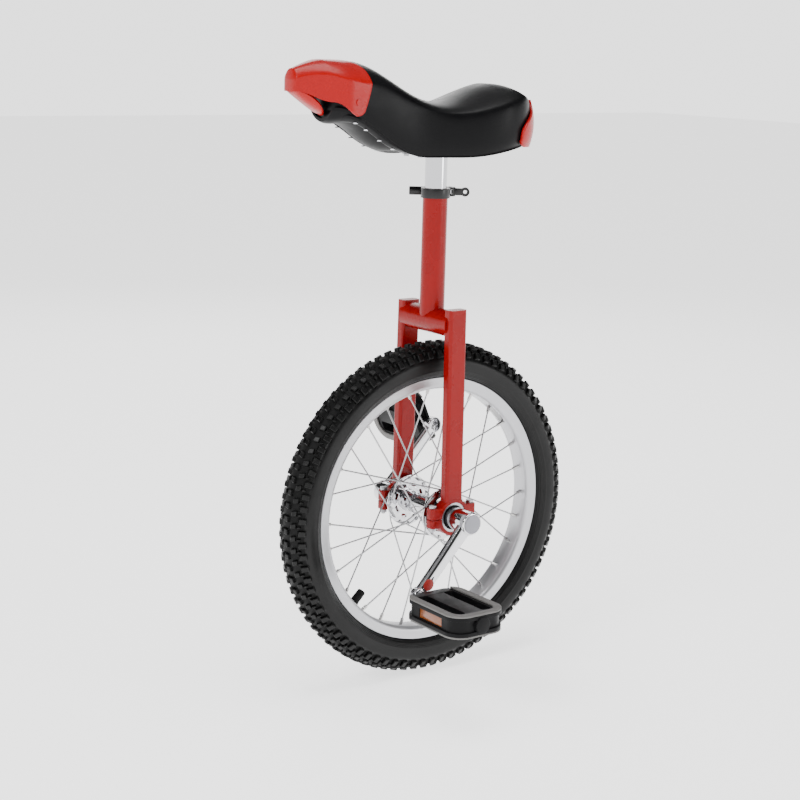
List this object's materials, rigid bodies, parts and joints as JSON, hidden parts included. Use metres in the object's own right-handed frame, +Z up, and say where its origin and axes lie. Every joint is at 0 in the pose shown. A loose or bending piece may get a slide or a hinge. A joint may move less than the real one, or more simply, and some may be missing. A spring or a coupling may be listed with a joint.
{
  "type": "unicycle",
  "caption": "Unicycle: one spoked wheel with a knobbly tyre, turned directly by cranks and pedals, under a fork, a height-adjustable post and a curved padded saddle with a front handle.",
  "frame": {"origin": "where the tyre meets the ground, straight below the axle, midway between the pedals' outer ends", "axes": "+X forward, the way the saddle's handle points; +Y to the rider's left; +Z up"},
  "size_m": [0.3998, 0.3996, 0.7194],
  "materials": {
    "red_paint": "gloss enamel",
    "zinc_steel": "bright zinc plate",
    "black_rubber": "matt",
    "black_paint": "semi-gloss",
    "chrome": "polished",
    "steel_rod": "bright drawn",
    "silver_nipple": "nickel plate",
    "black_plastic": "fine grain",
    "foam": "open cell",
    "black_vinyl": "fine grain, semi-gloss",
    "red_plastic": "gloss moulded",
    "rim_alloy": "satin",
    "tape": "matt",
    "brass_stem": "turned",
    "tyre_rubber": "matt moulded",
    "grey_cap": "satin",
    "grey_tread": "gritty",
    "amber_lens": "clear amber"
  },
  "bodies": {
    "frame": {"seat_tube": "red_paint", "fork_crown": "red_paint", "fork_leg_left": "red_paint", "fork_leg_right": "red_paint", "bearing_holder_left": "red_paint", "bearing_holder_right": "red_paint", "bearing_cap_left": "red_paint", "bearing_cap_right": "red_paint", "holder_bolts": "zinc_steel", "holder_nuts": "zinc_steel", "bearing_outer_left": "zinc_steel", "bearing_outer_right": "zinc_steel", "bearing_balls": "zinc_steel", "bearing_seals": "black_rubber", "seat_clamp_collar": "black_paint", "clamp_skewer": "steel_rod", "clamp_barrel_nut": "black_paint", "clamp_pivot_pin": "steel_rod"},
    "lever": {"clamp_lever": "black_paint"},
    "seat": {"seatpost": "chrome", "seatpost_bracket": "black_paint", "saddle_base": "black_plastic", "saddle_foam": "foam", "saddle_cover": "black_vinyl", "front_bumper": "red_plastic", "rear_bumper": "red_plastic", "saddle_staples": "zinc_steel", "saddle_studs": "zinc_steel", "saddle_nuts": "zinc_steel", "bumper_screws": "zinc_steel"},
    "wheel": {"hub_axle": "zinc_steel", "hub_barrel": "chrome", "hub_flange_left": "chrome", "hub_flange_right": "chrome", "bearing_inner_left": "zinc_steel", "bearing_inner_right": "zinc_steel", "spokes_left": "steel_rod", "spokes_right": "steel_rod", "spoke_nipples": "silver_nipple", "rim": "rim_alloy", "rim_tape": "tape", "inner_tube": "black_rubber", "valve_stem": "brass_stem", "valve_cap": "black_rubber", "tyre": "tyre_rubber", "crank_left": "chrome", "crank_right": "chrome", "crank_nuts": "zinc_steel", "dust_caps": "grey_cap", "pedal_spindle_left": "chrome", "pedal_spindle_right": "chrome", "pedal_cones": "zinc_steel"},
    "pedal_left": {"pedal_body_left": "black_plastic", "pedal_treads_left": "grey_tread", "pedal_reflectors_left": "amber_lens", "pedal_cap_left": "black_plastic"},
    "pedal_right": {"pedal_body_right": "black_plastic", "pedal_treads_right": "grey_tread", "pedal_reflectors_right": "amber_lens", "pedal_cap_right": "black_plastic"}
  },
  "joints": [
    {"name": "wheel_spin", "type": "hinge", "parent": "frame", "child": "wheel", "pos_m": [0, 0, 0.2], "axis": [0, 1, 0], "continuous": true},
    {"name": "pedal_left_spin", "type": "hinge", "parent": "wheel", "child": "pedal_left", "pos_m": [0.06825, 0.15, 0.1242], "axis": [0, 1, 0], "continuous": true},
    {"name": "pedal_right_spin", "type": "hinge", "parent": "wheel", "child": "pedal_right", "pos_m": [-0.06825, -0.15, 0.2758], "axis": [0, 1, 0], "continuous": true},
    {"name": "seat_height", "type": "slide", "parent": "frame", "child": "seat", "axis": [0, 0, 1], "range_m": [-0.028, 0.04]},
    {"name": "clamp_lever_turn", "type": "hinge", "parent": "frame", "child": "lever", "pos_m": [-0.02667, -0.00785, 0.5705], "axis": [0, 0, 1], "range_deg": [-60, 85]}
  ]
}
